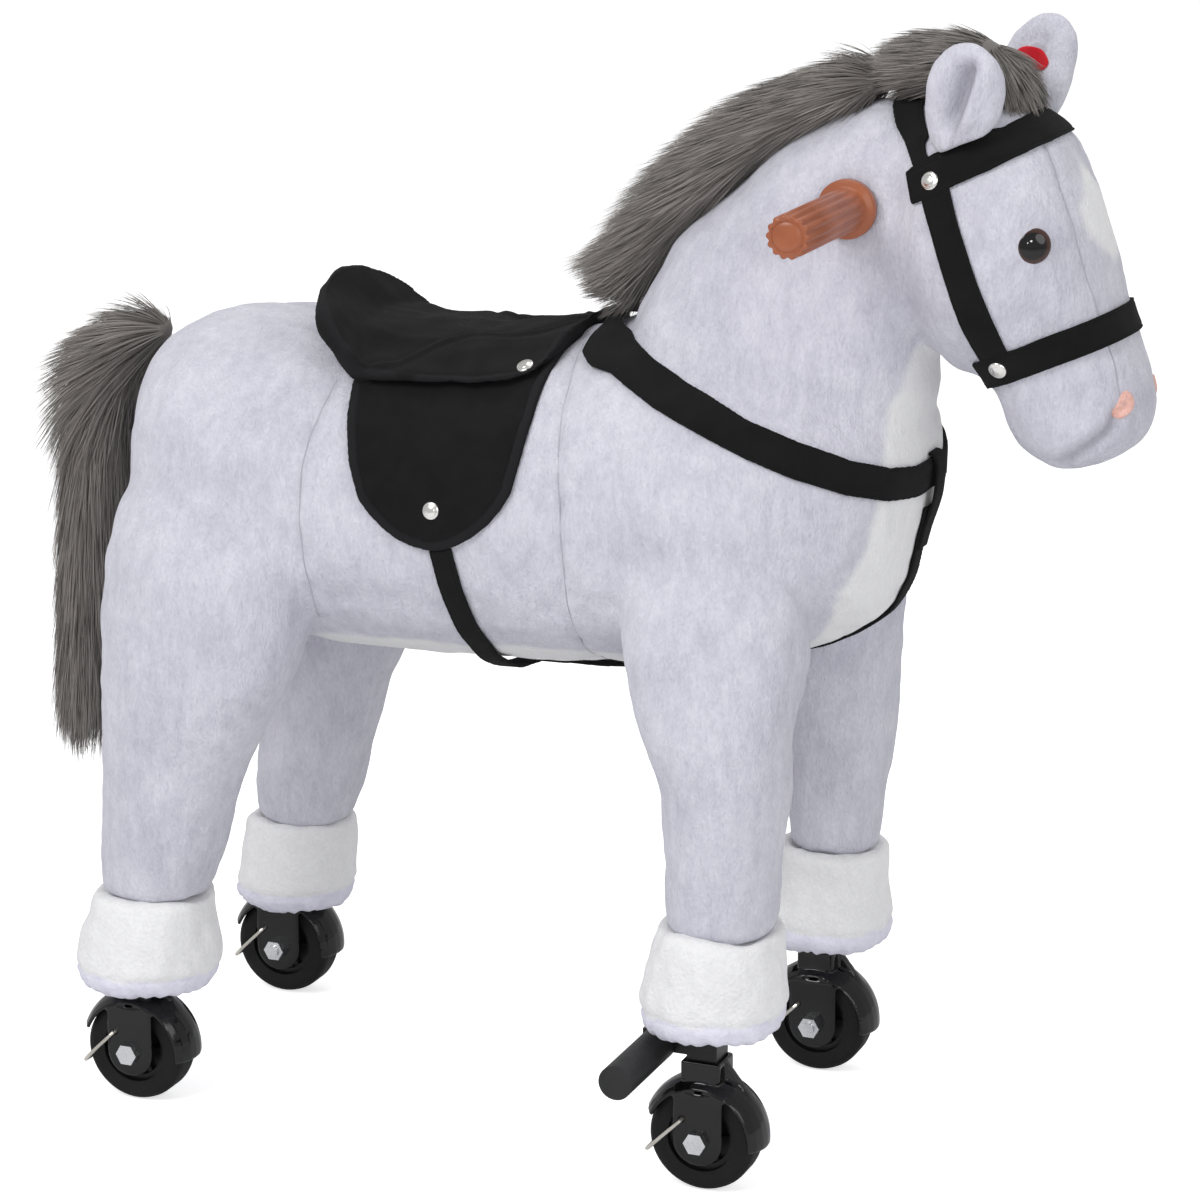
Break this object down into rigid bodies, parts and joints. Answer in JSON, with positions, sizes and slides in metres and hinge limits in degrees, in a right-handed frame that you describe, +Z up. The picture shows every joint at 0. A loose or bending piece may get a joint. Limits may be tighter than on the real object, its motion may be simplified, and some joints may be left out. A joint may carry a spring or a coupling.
{
  "type": "ride on horse on wheels",
  "caption": "Stuffed plush ride-on horse on a jointed steel frame with free-rolling guarded wheels, one-way wire catches, handle grips, foot pegs, saddle and bridle.",
  "frame": {"origin": "on the floor, midway along and across the horse's overall box", "axes": "+X the way the horse faces, +Y to its left, +Z up"},
  "size_m": [0.7558, 0.375, 0.7259],
  "materials": {
    "plush": "short lavender-grey pile",
    "white_plush": "short white pile",
    "hair": "long taupe-grey pile",
    "eye": "polished brown",
    "felt": "pink felt",
    "saddle_cloth": "black padded cloth",
    "strap": "black felted webbing",
    "rivet": "polished",
    "frame_steel": "black powder coat",
    "board": "plain plywood",
    "zinc": "zinc plated",
    "grip": "moulded terracotta brown",
    "peg": "moulded black",
    "guard": "moulded gloss black",
    "rim": "moulded black",
    "tyre": "smooth black tread",
    "sound": "plain housing",
    "button": "plain red"
  },
  "bodies": {
    "rear_half": {"torso": "plush", "leg_rear_right": "plush", "leg_rear_left": "plush", "rear_cuffs": "white_plush", "tail": "hair", "saddle_seat": "saddle_cloth", "saddle_flaps": "saddle_cloth", "saddle_studs": "rivet", "girth_strap": "strap", "belly_strap": "strap", "rear_frame": "frame_steel", "rear_posts": "frame_steel", "seat_board": "board", "guard_rear_right": "guard", "guard_rear_left": "guard", "rear_axle_bolts": "zinc", "return_spring": "zinc"},
    "front_half": {"shoulders": "plush", "neck": "plush", "head": "plush", "ear_right": "plush", "ear_left": "plush", "leg_front_right": "plush", "leg_front_left": "plush", "front_cuffs": "white_plush", "mane": "hair", "forelock": "hair", "eyes": "eye", "nostrils": "felt", "cheek_straps": "strap", "brow_band": "strap", "nose_band": "strap", "bridle_rivets": "rivet", "breast_strap": "strap", "chest_strap": "strap", "front_frame": "frame_steel", "front_posts": "frame_steel", "pivot_bolt": "zinc", "handle_bar": "frame_steel", "handle_grips": "grip", "peg_bars": "frame_steel", "peg_sleeves": "peg", "guard_front_right": "guard", "guard_front_left": "guard", "front_axle_bolts": "zinc", "sound_box": "sound"},
    "wheel_front_right": {"rim_front_right": "rim", "tyre_front_right": "tyre"},
    "catch_front_right": {"catch_front_right": "zinc"},
    "wheel_front_left": {"rim_front_left": "rim", "tyre_front_left": "tyre"},
    "catch_front_left": {"catch_front_left": "zinc"},
    "wheel_rear_right": {"rim_rear_right": "rim", "tyre_rear_right": "tyre"},
    "catch_rear_right": {"catch_rear_right": "zinc"},
    "wheel_rear_left": {"rim_rear_left": "rim", "tyre_rear_left": "tyre"},
    "catch_rear_left": {"catch_rear_left": "zinc"},
    "sound_button": {"sound_button": "button"}
  },
  "joints": [
    {"name": "gallop_hinge", "type": "hinge", "parent": "rear_half", "child": "front_half", "pos_m": [0.042, 0, 0.4755], "axis": [0, -1, 0], "range_deg": [0, 10], "stiffness_Nm_per_rad": 24, "springref_deg": -8.59, "deforming": ["return_spring"]},
    {"name": "wheel_front_right_roll", "type": "hinge", "parent": "front_half", "child": "wheel_front_right", "pos_m": [0.138, -0.1095, 0.035], "axis": [0, 1, 0], "continuous": true},
    {"name": "catch_front_right_swing", "type": "hinge", "parent": "front_half", "child": "catch_front_right", "pos_m": [0.128, -0.1095, 0.049], "axis": [0, 1, 0], "range_deg": [0, 25]},
    {"name": "wheel_front_left_roll", "type": "hinge", "parent": "front_half", "child": "wheel_front_left", "pos_m": [0.138, 0.1095, 0.035], "axis": [0, 1, 0], "continuous": true},
    {"name": "catch_front_left_swing", "type": "hinge", "parent": "front_half", "child": "catch_front_left", "pos_m": [0.128, 0.1095, 0.049], "axis": [0, 1, 0], "range_deg": [0, 25]},
    {"name": "wheel_rear_right_roll", "type": "hinge", "parent": "rear_half", "child": "wheel_rear_right", "pos_m": [-0.264, -0.1095, 0.035], "axis": [0, 1, 0], "continuous": true},
    {"name": "catch_rear_right_swing", "type": "hinge", "parent": "rear_half", "child": "catch_rear_right", "pos_m": [-0.274, -0.1095, 0.049], "axis": [0, 1, 0], "range_deg": [0, 25]},
    {"name": "wheel_rear_left_roll", "type": "hinge", "parent": "rear_half", "child": "wheel_rear_left", "pos_m": [-0.264, 0.1095, 0.035], "axis": [0, 1, 0], "continuous": true},
    {"name": "catch_rear_left_swing", "type": "hinge", "parent": "rear_half", "child": "catch_rear_left", "pos_m": [-0.274, 0.1095, 0.049], "axis": [0, 1, 0], "range_deg": [0, 25]},
    {"name": "sound_button_press", "type": "slide", "parent": "front_half", "child": "sound_button", "axis": [0, 1, 0], "range_m": [0, 0.0015], "stiffness_N_per_m": 600}
  ]
}
